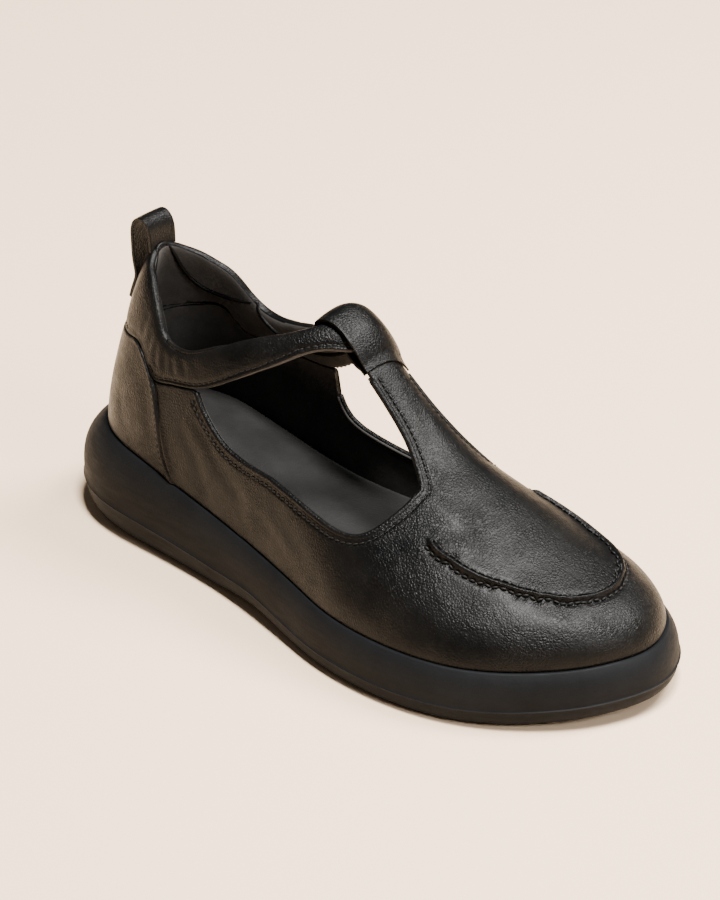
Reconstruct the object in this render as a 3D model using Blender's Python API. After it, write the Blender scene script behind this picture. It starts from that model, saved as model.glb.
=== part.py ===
"""A T-bar mary jane shoe for the right foot, on one moulded rubber sole.

Metres, +X from heel to toe, +Y to the inner (medial) side, +Z up, the floor at Z = 0.
The upper is drawn on a last: a section for every station along the shoe, each a curve
from the feather line, where upper meets sole, up to the crest over the instep. A place
on the last is a station (how far along the shoe) and a rise (how far up the section).
"""

import math

import bpy

# Driving sizes. The tables run over the length; the rubber comes out a little past it.

SOLE_LENGTH = 0.262
BALL_WIDTH = 0.0925
HEEL_HEIGHT = 0.0355
FOREFOOT_HEIGHT = 0.0202
INSTEP_HEIGHT = 0.070
TOE_SPRING = 0.0045
ARCH_LIFT = 0.0022
FLARE = 0.0050
HEEL_UPRIGHT = 0.0170
GAP = 0.0003

LEATHER = 0.0020
COUNTER_STEP = 0.0008
RIDGE_HEIGHT = 0.0016
RIDGE_WIDTH = 0.0036
INSOLE_THICKNESS = 0.0040
INSOLE_BEVEL = 0.0030
PARTING_LINE = 0.0005

BAR_WIDTH = 0.0205
BAND_PROUD = 0.0010
BAND_DEPTH = 0.0042
LOOP_WIDTH = 0.0225
LOOP_LEATHER = 0.0018
LOOP_SKEW = 0.12
PULL_WIDTH = 0.0130
PULL_LEATHER = 0.0014
PULL_RISE = 0.0092

LATERAL, MEDIAL = -1, 1

# Working steps: along and up the last for its directions, and the smallest length.
STATION_STEP = 0.0025
RISE_STEP = 0.03
TOP_RISE = 1.4
TINY = 1e-9


class Table:
    """Rows with named columns, read as smooth curves over the first column."""

    def __init__(self, names, rows):
        self.names = names.split()
        self.rows = rows

    def column(self, name):
        k = self.names.index(name)
        return [row[k] for row in self.rows]

    def at(self, name, along):
        return smooth(self.column(self.names[0]), self.column(name), along)


def smooth(places, values, place):
    """The smooth curve through values at places, held level past both ends."""
    place = min(max(place, places[0]), places[-1])
    i = 0
    while i < len(places) - 2 and place > places[i + 1]:
        i += 1
    slopes = []
    for j in (i, i + 1):
        low, high = max(j - 1, 0), min(j + 1, len(places) - 1)
        slopes.append((values[high] - values[low]) / (places[high] - places[low]))
    step = places[i + 1] - places[i]
    t = (place - places[i]) / step
    return (
        (2 * t**3 - 3 * t**2 + 1) * values[i]
        + (t**3 - 2 * t**2 + t) * step * slopes[0]
        + (3 * t**2 - 2 * t**3) * values[i + 1]
        + (t**3 - t**2) * step * slopes[1]
    )


# The last

# Half widths of the feather line, as shares of the ball width, at shares of the length.
FEATHER = Table("along lateral medial", [
    (0.036, 0.000, 0.000),
    (0.046, 0.103, 0.097),
    (0.069, 0.190, 0.184),
    (0.107, 0.262, 0.254),
    (0.160, 0.305, 0.294),
    (0.240, 0.328, 0.305),
    (0.344, 0.357, 0.297),
    (0.420, 0.395, 0.297),
    (0.496, 0.449, 0.324),
    (0.599, 0.524, 0.395),
    (0.698, 0.541, 0.459),
    (0.782, 0.503, 0.492),
    (0.847, 0.422, 0.470),
    (0.908, 0.286, 0.389),
    (0.950, 0.142, 0.286),
    (0.979, -0.086, 0.086),
])

# Feather height, from the forefoot's (0) to the heel's (1); crest height over the
# forefoot, as a share of the instep; and how far the crest leans to the inner side, as a
# share of the ball width.
LAST = Table("along feather crest lean", [
    (0.000, 1.00, 1.36, 0.016),
    (0.172, 0.88, 1.36, 0.016),
    (0.229, 0.70, 1.34, 0.020),
    (0.305, 0.48, 1.27, 0.032),
    (0.382, 0.30, 1.20, 0.075),
    (0.439, 0.22, 1.190, 0.122),
    (0.480, 0.17, 1.105, 0.106),
    (0.519, 0.12, 1.00, 0.088),
    (0.573, 0.05, 0.835, 0.080),
    (0.637, 0.01, 0.665, 0.078),
    (0.687, 0.00, 0.585, 0.076),
    (0.763, 0.00, 0.465, 0.075),
    (0.821, 0.00, 0.375, 0.074),
    (0.900, 0.06, 0.260, 0.074),
    (0.979, 0.16, 0.150, 0.074),
])

# How long a section stays upright at the side, and flat at the top, as shares.
FULLNESS = Table("along lateral_side lateral_top medial_side medial_top", [
    (0.036, 0.20, 0.32, 0.20, 0.32),
    (0.172, 0.47, 0.50, 0.52, 0.58),
    (0.240, 0.50, 0.58, 0.55, 0.70),
    (0.344, 0.50, 0.54, 0.52, 0.66),
    (0.420, 0.46, 0.58, 0.48, 0.62),
    (0.496, 0.43, 0.52, 0.46, 0.56),
    (0.611, 0.43, 0.42, 0.45, 0.50),
    (0.687, 0.44, 0.43, 0.46, 0.47),
    (0.821, 0.50, 0.50, 0.50, 0.50),
    (0.979, 0.57, 0.57, 0.57, 0.57),
])

HEEL_CENTRE = 0.172 * SOLE_LENGTH
TOE_CENTRE = 0.821 * SOLE_LENGTH
HEEL_END = FEATHER.rows[0][0] * SOLE_LENGTH
TOE_END = FEATHER.rows[-1][0] * SOLE_LENGTH
SECTION_STEPS = 32


def closed_curve(points, steps):
    """A smooth closed curve through points in plan, centripetal so it never loops."""
    count = len(points)
    gaps = [math.dist(points[i - 1], points[i]) ** 0.5 for i in range(count)]
    curve = []
    for i in range(count):
        p = [points[(i + k) % count] for k in (-1, 0, 1, 2)]
        d = [gaps[(i + k) % count] for k in (0, 1, 2)]
        tangents = []
        for a, b, c, before, after in ((*p[:3], *d[:2]), (*p[1:], *d[1:])):
            tangents.append([
                ((b[k] - a[k]) / before - (c[k] - a[k]) / (before + after) + (c[k] - b[k]) / after) * d[1]
                for k in (0, 1)
            ])
        for s in range(steps):
            t = s / steps
            curve.append(tuple(
                (2 * t**3 - 3 * t**2 + 1) * p[1][k]
                + (t**3 - 2 * t**2 + t) * tangents[0][k]
                + (3 * t**2 - 2 * t**3) * p[2][k]
                + (t**3 - t**2) * tangents[1][k]
                for k in (0, 1)
            ))
    return curve


def feather_outline():
    lateral = [(row[0] * SOLE_LENGTH, -row[1] * BALL_WIDTH) for row in FEATHER.rows]
    medial = [(row[0] * SOLE_LENGTH, row[2] * BALL_WIDTH) for row in FEATHER.rows[-2:0:-1]]
    return closed_curve(lateral + medial, 10)


OUTLINE = feather_outline()


def feather_height(x):
    share = LAST.at("feather", x / SOLE_LENGTH)
    return FOREFOOT_HEIGHT + share * (HEEL_HEIGHT - FOREFOOT_HEIGHT)


def crest_point(x):
    along = x / SOLE_LENGTH
    height = FOREFOOT_HEIGHT + LAST.at("crest", along) * INSTEP_HEIGHT
    return (x, LAST.at("lean", along) * BALL_WIDTH, height)


def reach_outline(start, way):
    """How far a straight line in plan runs from start before it meets the feather line."""
    reach = math.inf
    for i, (bx, by) in enumerate(OUTLINE):
        ax, ay = OUTLINE[i - 1]
        ex, ey = bx - ax, by - ay
        slant = way[0] * ey - way[1] * ex
        if abs(slant) < TINY**2:
            continue
        wx, wy = ax - start[0], ay - start[1]
        t = (wx * ey - wy * ex) / slant
        u = (wx * way[1] - wy * way[0]) / slant
        if t > 0 and -TINY <= u <= 1 + TINY:
            reach = min(reach, t)
    return reach


def crest_and_foot(side, station):
    """A section's crest point, its foot and how steeply it leaves the crest forwards.

    Sections fan out round the heel and the toe.
    """
    fall = 0.0
    if station < HEEL_CENTRE:
        turn = (station - HEEL_END) / (HEEL_CENTRE - HEEL_END) * math.pi / 2
        crest, way = crest_point(HEEL_CENTRE), (-math.cos(turn), side * math.sin(turn))
        crest = (crest[0], crest[1], crest[2] + HEEL_UPRIGHT * way[0] ** 2)
    elif station > TOE_CENTRE:
        turn = (station - TOE_CENTRE) / (TOE_END - TOE_CENTRE) * math.pi / 2
        crest, way = crest_point(TOE_CENTRE), (math.sin(turn), side * math.cos(turn))
        fall = way[0] * (crest_point(TOE_CENTRE - STATION_STEP)[2] - crest[2]) / STATION_STEP
    else:
        crest, way = crest_point(station), (0.0, side)
    reach = reach_outline(crest, way)
    x, y = crest[0] + way[0] * reach, crest[1] + way[1] * reach
    return crest, (x, y, feather_height(x)), fall * reach


SECTIONS = {}


def section(side, station):
    """The points of one section from foot to crest, and the length up to each."""
    key = (side, round(station, 9))
    if key not in SECTIONS:
        crest, foot, fall = crest_and_foot(side, station)
        fanned = station < HEEL_CENTRE or station > TOE_CENTRE
        along = (foot[0] if fanned else station) / SOLE_LENGTH
        name = "lateral" if side == LATERAL else "medial"
        full = FULLNESS.at(name + "_side", along)
        top = FULLNESS.at(name + "_top", along)
        shoulder = 1 - fall * top / (crest[2] - foot[2])
        points = []
        for k in range(SECTION_STEPS + 1):
            t = k / SECTION_STEPS
            s = 1 - t
            out = s**3 + 3 * s * s * t + 3 * s * t * t * top
            up = 3 * s * s * t * full + 3 * s * t * t * shoulder + t**3
            points.append((
                crest[0] + (foot[0] - crest[0]) * out,
                crest[1] + (foot[1] - crest[1]) * out,
                foot[2] + (crest[2] - foot[2]) * up,
            ))
        lengths = [0.0]
        for a, b in zip(points, points[1:]):
            lengths.append(lengths[-1] + math.dist(a, b))
        SECTIONS[key] = points, lengths
    return SECTIONS[key]


def on_last(side, station, rise):
    """The point at a rise; past the crest it runs down the other side."""
    if rise > 1:
        here = section(side, station)[1][-1]
        there = section(-side, station)[1][-1]
        return on_last(-side, station, 1 - (rise - 1) * here / there)
    points, lengths = section(side, station)
    want = max(rise, 0.0) * lengths[-1]
    i = 0
    while i < len(lengths) - 2 and lengths[i + 1] < want:
        i += 1
    t = (want - lengths[i]) / (lengths[i + 1] - lengths[i])
    return tuple(a + (b - a) * t for a, b in zip(points[i], points[i + 1]))


def minus(a, b):
    return tuple(p - q for p, q in zip(a, b))


def cross(a, b):
    return (a[1] * b[2] - a[2] * b[1], a[2] * b[0] - a[0] * b[2], a[0] * b[1] - a[1] * b[0])


def unit(a):
    size = math.sqrt(sum(p * p for p in a))
    return tuple(p / size for p in a)


def moved(point, way, far):
    return tuple(p + w * far for p, w in zip(point, way))


def normal(side, station, rise):
    """The last's outward direction, from points a little to each side."""
    low, high = station - STATION_STEP, station + STATION_STEP
    if low < HEEL_END:
        near = HEEL_END + STATION_STEP
        along = minus(on_last(side, near, rise), on_last(-side, near, rise))
    elif high > TOE_END:
        near = TOE_END - STATION_STEP
        along = minus(on_last(-side, near, rise), on_last(side, near, rise))
    else:
        along = minus(on_last(side, high, rise), on_last(side, low, rise))
    low, high = max(rise - RISE_STEP, 0), min(rise + RISE_STEP, TOP_RISE)
    up = minus(on_last(side, station, high), on_last(side, station, low))
    return unit(cross(along, up) if side == LATERAL else cross(up, along))


def off_last(side, station, rise, height):
    return moved(on_last(side, station, rise), normal(side, station, rise), height)


# Meshes


def material(name, colour, roughness):
    made = bpy.data.materials.new(name)
    made.use_nodes = True
    shader = made.node_tree.nodes["Principled BSDF"]
    shader.inputs["Base Color"].default_value = (*colour, 1)
    shader.inputs["Roughness"].default_value = roughness
    shader.inputs["Metallic"].default_value = 0
    return made


def body(name, points, faces, look):
    """One closed object, moved so that the sole's middle is the origin."""
    mesh = bpy.data.meshes.new(name)
    mesh.from_pydata([(x - MIDDLE[0], y - MIDDLE[1], z) for x, y, z in points], [], faces)
    mesh.shade_smooth()
    mesh.set_sharp_from_angle(angle=math.radians(40))
    mesh.materials.append(look)
    made = bpy.data.objects.new(name, mesh)
    bpy.context.scene.collection.objects.link(made)
    return made


def thick_sheet(name, outer, inner, faces, look):
    """A sheet with a wall: outer faces, the same faces inside, and a rim at each edge."""
    count = len(outer)
    edges = {}
    for face in faces:
        for a, b in zip(face, face[1:] + face[:1]):
            edges[(a, b)] = True
    walls = [(b, a, a + count, b + count) for a, b in edges if (b, a) not in edges]
    inside = [tuple(i + count for i in reversed(face)) for face in faces]
    return body(name, outer + inner, faces + inside + walls, look)


def ring_faces(rows, columns, closed=True):
    """Quads between rows of points laid one after another, each row a ring."""
    last = columns if closed else columns - 1
    faces = []
    for row in range(rows - 1):
        here, there = row * columns, (row + 1) * columns
        for c in range(last):
            after = (c + 1) % columns
            faces.append((here + c, here + after, there + after, there + c))
    return faces


# The collar band's lower line, where the quarters end, and its rim, from the heel's back
# to the middle of the instep: stations and rises. The foot is the station on the feather
# line that the upper's column comes from, for the steps that the upper shares.
COLLAR = {
    LATERAL: Table("step foot low low_rise rim rim_rise", [
        (0, 0.036, 0.036, 0.378, 0.036, 0.700),
        (1, 0.080, 0.076, 0.391, 0.090, 0.703),
        (2, 0.125, 0.112, 0.430, 0.134, 0.720),
        (3, 0.180, 0.153, 0.472, 0.172, 0.660),
        (4, 0.246, 0.191, 0.372, 0.197, 0.575),
        (5, 0.272, 0.227, 0.398, 0.219, 0.545),
        (6, 0.298, 0.272, 0.444, 0.248, 0.556),
        (7, 0.298, 0.300, 0.492, 0.284, 0.624),
        (8, 0.298, 0.328, 0.553, 0.320, 0.706),
        (9, 0.298, 0.362, 0.630, 0.357, 0.778),
        (10, 0.298, 0.395, 0.698, 0.399, 0.845),
        (11, 0.298, 0.430, 0.768, 0.4270, 0.905),
        (12, 0.298, 0.464, 0.845, 0.4290, 0.955),
        (13, 0.298, 0.486, 0.925, 0.4295, 0.980),
        (14, 0.298, 0.493, 1.000, 0.430, 1.000),
    ]),
    MEDIAL: Table("step foot low low_rise rim rim_rise", [
        (0, 0.036, 0.036, 0.378, 0.036, 0.700),
        (1, 0.080, 0.076, 0.391, 0.090, 0.705),
        (2, 0.125, 0.112, 0.430, 0.140, 0.735),
        (3, 0.180, 0.153, 0.472, 0.182, 0.690),
        (4, 0.246, 0.191, 0.372, 0.212, 0.590),
        (5, 0.290, 0.250, 0.400, 0.240, 0.548),
        (6, 0.335, 0.310, 0.440, 0.280, 0.575),
        (7, 0.372, 0.366, 0.500, 0.332, 0.665),
        (8, 0.372, 0.402, 0.590, 0.386, 0.765),
        (9, 0.372, 0.442, 0.695, 0.435, 0.850),
        (10, 0.372, 0.474, 0.815, 0.440, 0.925),
        (11, 0.372, 0.489, 0.905, 0.433, 0.975),
        (12, 0.372, 0.493, 1.000, 0.430, 1.000),
    ]),
}
QUARTER_END = {LATERAL: 6, MEDIAL: 7}
COUNTER_SEAM = 4
SEAM_ROLL = 3.8

# The edge of the cut-out, from the band down, along the bottom and up to its front end.
CUTOUT = {
    LATERAL: Table("step foot edge rise", [
        (0, 0.298, 0.272, 0.444),
        (1, 0.316, 0.290, 0.388),
        (2, 0.342, 0.319, 0.332),
        (3, 0.372, 0.350, 0.302),
        (4, 0.415, 0.400, 0.293),
        (5, 0.462, 0.452, 0.295),
        (6, 0.508, 0.505, 0.309),
        (7, 0.552, 0.552, 0.326),
        (8, 0.586, 0.585, 0.348),
        (9, 0.610, 0.608, 0.385),
        (10, 0.630, 0.625, 0.455),
        (11, 0.652, 0.637, 0.560),
        (12, 0.676, 0.643, 0.660),
        (13, 0.700, 0.643, 0.745),
    ]),
    MEDIAL: Table("step foot edge rise", [
        (0, 0.372, 0.366, 0.500),
        (1, 0.380, 0.364, 0.430),
        (2, 0.395, 0.369, 0.345),
        (3, 0.415, 0.388, 0.280),
        (4, 0.445, 0.425, 0.250),
        (5, 0.480, 0.470, 0.243),
        (6, 0.518, 0.515, 0.250),
        (7, 0.552, 0.552, 0.272),
        (8, 0.580, 0.582, 0.310),
        (9, 0.606, 0.606, 0.375),
        (10, 0.630, 0.624, 0.465),
        (11, 0.654, 0.636, 0.560),
        (12, 0.678, 0.642, 0.640),
        (13, 0.700, 0.643, 0.705),
    ]),
}

# The inner foot of the raised moccasin seam, from the cut-out's front end round the toe.
MOCCASIN = {
    LATERAL: Table("step foot edge rise", [
        (0, 0.700, 0.643, 0.745),
        (1, 0.722, 0.668, 0.668),
        (2, 0.746, 0.694, 0.580),
        (3, 0.772, 0.730, 0.555),
        (4, 0.802, 0.778, 0.560),
        (5, 0.835, 0.824, 0.598),
        (6, 0.870, 0.866, 0.592),
        (7, 0.910, 0.908, 0.575),
        (8, 0.945, 0.944, 0.565),
        (9, 0.979, 0.979, 0.570),
    ]),
    MEDIAL: Table("step foot edge rise", [
        (0, 0.700, 0.643, 0.705),
        (1, 0.722, 0.672, 0.640),
        (2, 0.746, 0.704, 0.575),
        (3, 0.772, 0.735, 0.545),
        (4, 0.802, 0.778, 0.530),
        (5, 0.835, 0.824, 0.530),
        (6, 0.870, 0.866, 0.540),
        (7, 0.910, 0.908, 0.550),
        (8, 0.945, 0.944, 0.560),
        (9, 0.979, 0.979, 0.570),
    ]),
}
SEAM_START = 2
TOE_CORNER = 7

# Half widths of the T-bar, as shares of its width, down to the cut-outs' front ends.
BAR_TOP = 0.500
BAR = Table("station half", [
    (0.500, 0.50),
    (0.545, 0.50),
    (0.580, 0.55),
    (0.606, 0.66),
    (0.626, 0.80),
])


def between(low, high, count):
    return [low + (high - low) * i / count for i in range(count + 1)]


CUTOUT_STEPS = between(0, 13, 22)[1:]
SIDE_STEPS = [0.65, 1.3, 1.86] + between(SEAM_START, TOE_CORNER, 10)
MOCCASIN_STEPS = SIDE_STEPS + between(TOE_CORNER, 9, 4)[1:]


def heel_steps(side):
    """Steps along the band's lower line; three lie close together at the counter seam."""
    before = between(0, COUNTER_SEAM - 1, 8) + [3.35, 3.68]
    return before + [3.88, 4.0, 4.12] + between(4.4, QUARTER_END[side], 5)


def arc(side, station):
    return section(side, station)[1][-1]


def wing_columns(side):
    """The columns of one side: foot, edge, rise, counter lift and ridge lift."""
    columns = []
    collar, cutout, moccasin = COLLAR[side], CUTOUT[side], MOCCASIN[side]
    for step in heel_steps(side):
        lift = 0.0
        if step <= COUNTER_SEAM:
            lift = COUNTER_STEP * (1.0 if step > SEAM_ROLL else 0.5)
        place = [collar.at(name, step) for name in ("foot", "low", "low_rise")]
        columns.append((*place, lift, 0.0))
    for step in CUTOUT_STEPS:
        place = [cutout.at(name, step) for name in ("foot", "edge", "rise")]
        columns.append((*place, 0.0, 0.0))
    for step in MOCCASIN_STEPS:
        place = [moccasin.at(name, step) for name in ("foot", "edge", "rise")]
        columns.append((*place, 0.0, RIDGE_HEIGHT if step >= SEAM_START else 0.0))
    return columns


WING_ROWS = 9
EDGE_ROWS = 3
BELOW_RIDGE = 1.8
STRIP_COLUMNS = 8
BAR_ROWS = 8
CURVED_ROWS = 4


def wing_point(side, column, row, depth):
    """A point of a column: the top rows lie close to its edge, for the raised seam."""
    foot, edge, rise, lift, ridge = column
    length = rise * arc(side, edge * SOLE_LENGTH)
    from_top = WING_ROWS - 1 - row
    if from_top < EDGE_ROWS:
        share = 1 - from_top * RIDGE_WIDTH / 2 / length
    else:
        share = (1 - BELOW_RIDGE * RIDGE_WIDTH / length) * row / (WING_ROWS - 1 - EDGE_ROWS)
    station = (foot + (edge - foot) * share) * SOLE_LENGTH
    raised = lift + (ridge if from_top == 1 else 0.0)
    return off_last(side, station, rise * share, raised if depth == 0 else -depth)


def place_over(x, y):
    """The place on the last straight above a point in plan, near the crest."""
    if x > TOE_CENTRE:
        centre = crest_point(TOE_CENTRE)
        turn = math.atan2(x - centre[0], abs(y - centre[1]))
        station = TOE_CENTRE + turn / (math.pi / 2) * (TOE_END - TOE_CENTRE)
    else:
        centre = crest_point(x)
        station = x
    side = LATERAL if y < centre[1] else MEDIAL
    points, lengths = section(side, station)
    want = math.dist((x, y), centre[:2])
    outs = [math.dist(point[:2], centre[:2]) for point in points]
    i = len(points) - 1
    while i > 1 and outs[i - 1] < want:
        i -= 1
    t = (want - outs[i]) / (outs[i - 1] - outs[i])
    return side, station, (lengths[i] + (lengths[i - 1] - lengths[i]) * t) / lengths[-1]


def bar_edge(side, station):
    half = BAR.at("half", station / SOLE_LENGTH) * BAR_WIDTH
    return on_last(side, station, 1 - half / arc(side, station))


def make_upper(look):
    """Quarters, counter, vamp and T-bar in one wall, open at the top and underneath."""
    lateral, medial = wing_columns(LATERAL), wing_columns(MEDIAL)
    ring = [(LATERAL, column) for column in lateral] + [(MEDIAL, column) for column in medial[-2:0:-1]]
    count = len(ring)
    outer, inner = [], []
    for row in range(WING_ROWS):
        for side, column in ring:
            outer.append(wing_point(side, column, row, 0))
            inner.append(wing_point(side, column, row, LEATHER))
    faces = ring_faces(WING_ROWS, count)

    top = (WING_ROWS - 1) * count
    front = len(lateral) - len(MOCCASIN_STEPS) - 1
    across = [(top + front + i, top + count - front - i) for i in range(len(SIDE_STEPS) + 1)]
    tip = top + len(lateral) - 1
    half = STRIP_COLUMNS // 2
    arc_row = [tip + k - half for k in range(STRIP_COLUMNS + 1)]

    def add(x, y):
        place = place_over(x, y)
        outer.append(off_last(*place, 0))
        inner.append(off_last(*place, -LEATHER))
        return len(outer) - 1

    rows = []
    cut_front = CUTOUT[LATERAL].rows[-1][2] * SOLE_LENGTH
    for station in between(BAR_TOP * SOLE_LENGTH, cut_front, BAR_ROWS)[:-1]:
        ends = bar_edge(LATERAL, station), bar_edge(MEDIAL, station)
        rows.append([add(*mixed(*ends, k / STRIP_COLUMNS)) for k in range(STRIP_COLUMNS + 1)])
    chord = outer[arc_row[0]], outer[arc_row[-1]]
    for i, (a, b) in enumerate(across[:-1]):
        bulge = max(0, i - (len(across) - 1 - CURVED_ROWS)) / CURVED_ROWS
        row = [a]
        for k in range(1, STRIP_COLUMNS):
            x, y = mixed(outer[a], outer[b], k / STRIP_COLUMNS)
            cx, cy = mixed(*chord, k / STRIP_COLUMNS)
            px, py = outer[arc_row[k]][:2]
            row.append(add(x + (px - cx) * bulge, y + (py - cy) * bulge))
        rows.append(row + [b])
    rows.append(arc_row)
    for here, there in zip(rows, rows[1:]):
        for k in range(STRIP_COLUMNS):
            faces.append((here[k], there[k], there[k + 1], here[k + 1]))
    return thick_sheet("upper", outer, inner, faces, look)


def mixed(a, b, share):
    return (a[0] + (b[0] - a[0]) * share, a[1] + (b[1] - a[1]) * share)


# The sole and the insole

# The side of the sole from the floor up: height as a share of its thickness there, and
# how far out as a share of the flare, along the sides and at the heel.
SOLE_SIDE = [
    (0.000, 0.30, 0.34),
    (0.030, 0.62, 0.60),
    (0.100, 0.86, 0.78),
    (0.200, 0.97, 0.90),
    (0.318, 1.00, 0.965),
    (0.332, 1.00, 0.970),
    (0.346, 1.00, 0.975),
    (0.500, 0.97, 1.00),
    (0.660, 0.86, 0.95),
    (0.800, 0.68, 0.76),
    (0.920, 0.42, 0.44),
    (1.000, 0.12, 0.10),
]
PARTING_ROW = 5
ARCH_SPAN = (0.33, 0.53)
SPRING_START = 0.76

# How much the flare grows towards the ends, where the rubber bulges past the upper.
FLARE_ALONG = Table("along share", [
    (0.000, 2.25),
    (0.046, 2.15),
    (0.095, 1.75),
    (0.172, 1.30),
    (0.267, 1.04),
    (0.420, 0.96),
    (0.611, 0.92),
    (0.763, 0.92),
    (0.897, 0.96),
    (0.954, 1.00),
    (1.000, 1.02),
])


def ground(x):
    """The sole's underside: flat at heel and forefoot, lifted at the arch and the toe."""
    along = x / SOLE_LENGTH
    spring = TOE_SPRING * max(0.0, (along - SPRING_START) / (1 - SPRING_START)) ** 2
    arched = (along - ARCH_SPAN[0]) / (ARCH_SPAN[1] - ARCH_SPAN[0])
    return spring + ARCH_LIFT * math.sin(math.pi * min(max(arched, 0), 1)) ** 2


FAN_STEPS = 9
LONG_STEPS = 22


def foot_ring():
    """Feather points round the shoe, with the outward way in plan at each."""
    stations = between(HEEL_END, HEEL_CENTRE, FAN_STEPS) + between(HEEL_CENTRE, TOE_CENTRE, LONG_STEPS)[1:]
    stations += between(TOE_CENTRE, TOE_END, FAN_STEPS)[1:]
    ring = [(LATERAL, s) for s in stations] + [(MEDIAL, s) for s in stations[-2:0:-1]]
    feet = [section(side, station)[0][0] for side, station in ring]
    ways = []
    for i, foot in enumerate(feet):
        dx, dy, _ = minus(feet[(i + 1) % len(feet)], feet[i - 1])
        ways.append(unit((dy, -dx, 0)))
    return feet, ways


def capped_rings(name, rings, look):
    """Rings stacked upwards, closed below and above by strips straight across."""
    count = len(rings[0])
    faces = ring_faces(len(rings), count)
    for base, facing in ((0, -1), ((len(rings) - 1) * count, 1)):
        for i in range(count // 2):
            face = [base + i, base + i + 1, base + (count - i - 1) % count, base + (count - i) % count]
            face = list(dict.fromkeys(face))
            faces.append(tuple(face[::facing]))
    return body(name, [point for ring in rings for point in ring], faces, look)


def sole_rings():
    feet, ways = foot_ring()
    rings = []
    for i, (up, side_out, heel_out) in enumerate(SOLE_SIDE):
        ring = []
        for foot, way in zip(feet, ways):
            share = FLARE_ALONG.at("share", foot[0] / SOLE_LENGTH)
            heel = min(max(share - 1, 0), 1)
            flare = FLARE * share * (side_out + (heel_out - side_out) * heel)
            if i == PARTING_ROW:
                flare += PARTING_LINE
            x, y, _ = moved(foot, way, flare)
            low = ground(x)
            ring.append((x, y, low + (feather_height(foot[0]) - low) * up))
        rings.append(ring)
    rings.append([(x, y, z - GAP) for x, y, z in feet])
    return rings


def middle_of(rings):
    """The middle in plan of everything in the rings."""
    spans = [[point[k] for ring in rings for point in ring] for k in (0, 1)]
    return [(min(span) + max(span)) / 2 for span in spans]


def make_sole(look):
    return capped_rings("sole", sole_rings(), look)


# The insole's side, from its foot: inwards as a share of the bevel, up as a share of the
# thickness.
INSOLE_SIDE = [(0, 0), (0.2, 0.5), (0.5, 0.85), (1, 1)]


def make_insole(look):
    feet, ways = foot_ring()
    rings = []
    for inset, up in INSOLE_SIDE:
        ring = []
        for foot, way in zip(feet, ways):
            x, y, z = moved(foot, way, -LEATHER - 3 * GAP - inset * INSOLE_BEVEL)
            ring.append((x, y, feather_height(x) + GAP + up * INSOLE_THICKNESS))
        rings.append(ring)
    return capped_rings("insole", rings, look)


MIDDLE = middle_of(sole_rings())


# The collar band and the two loops

LOOP_COLUMNS = 6

# The band's padded section: how far up from its lower line, and how far out through its
# thickness, round from the flange at the bottom outside to the bottom inside.
BAND_SECTION = [
    (0.00, 0.80),
    (0.05, 0.88),
    (0.10, 0.85),
    (0.20, 0.93),
    (0.45, 1.00),
    (0.72, 1.00),
    (0.90, 0.92),
    (0.985, 0.74),
    (1.00, 0.50),
    (0.985, 0.26),
    (0.90, 0.10),
    (0.60, 0.00),
    (0.30, 0.05),
    (0.08, 0.25),
    (0.00, 0.42),
]


def make_collar_band(look):
    columns = []
    for side in (LATERAL, MEDIAL):
        end = COLLAR[side].rows[-1][0]
        steps = heel_steps(side) + between(QUARTER_END[side], end, 2 * (end - QUARTER_END[side]))[1:]
        columns.append([(side, step) for step in steps])
    ring = columns[0] + columns[1][-2:0:-1]
    points = []
    for up, out in BAND_SECTION:
        for side, step in ring:
            collar = COLLAR[side]
            low, rim = collar.at("low", step) * SOLE_LENGTH, collar.at("rim", step) * SOLE_LENGTH
            low_rise = collar.at("low_rise", step) + GAP / arc(side, low)
            station = low + (rim - low) * up
            rise = low_rise + (collar.at("rim_rise", step) - low_rise) * up
            height = out * (BAND_PROUD + BAND_DEPTH) - BAND_DEPTH
            points.append(off_last(side, station, min(rise, 1.0), height))
    count, rows = len(ring), len(BAND_SECTION)
    faces = ring_faces(rows, count)
    last = (rows - 1) * count
    for c in range(count):
        after = (c + 1) % count
        faces.append((last + c, last + after, after, c))
    return body("collar_band", points, faces, look)


def strap_body(name, near, far, look):
    """A strip of leather from rows of points on its two faces."""
    rows, columns = len(near), len(near[0])
    faces = ring_faces(rows, columns, closed=False)
    return thick_sheet(name, sum(far, []), sum(near, []), faces, look)


def loop_rows():
    """The loop's inner face round the strap: share up the strap's width, and height."""
    over, under, bar = BAND_PROUD + GAP, -BAND_DEPTH - GAP, -LEATHER - GAP
    return [
        (-0.32, GAP),
        (-0.22, GAP),
        (-0.10, (over + GAP) / 2),
        (0.03, over + GAP),
        (0.30, over + 2 * GAP),
        (0.60, over + 2 * GAP),
        (0.88, over + 2 * GAP),
        (1.01, over / 2),
        (1.13, 0.1 * under),
        (1.15, 0.4 * under),
        (1.13, 0.7 * under),
        (1.01, 0.95 * under),
        (0.88, under - GAP),
        (0.60, under - GAP),
        (0.30, under - GAP),
        (0.03, under),
        (-0.10, bar - GAP),
        (-0.20, bar),
        (-0.30, bar),
    ]


def make_bar_loop(look):
    rows = loop_rows()
    low, rim = (COLLAR[LATERAL].rows[-1][k] * SOLE_LENGTH for k in (2, 4))
    near, far = [], []
    for i, (up, height) in enumerate(rows):
        before, after = rows[max(i - 1, 0)], rows[min(i + 1, len(rows) - 1)]
        ds, dh = (before[0] - after[0]) * (low - rim), after[1] - before[1]
        size = math.hypot(ds, dh)
        for row, leather in ((near, 0.0), (far, LOOP_LEATHER)):
            line = []
            for k in range(LOOP_COLUMNS + 1):
                across = (k / LOOP_COLUMNS - 0.5) * LOOP_WIDTH
                side = LATERAL if across < 0 else MEDIAL
                station = low + (rim - low) * up + across * LOOP_SKEW + dh / size * leather
                rise = 1 - abs(across) / arc(side, station)
                line.append(off_last(side, station, rise, height - ds / size * leather))
            row.append(line)
    return strap_body("bar_loop", near, far, look)


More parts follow.
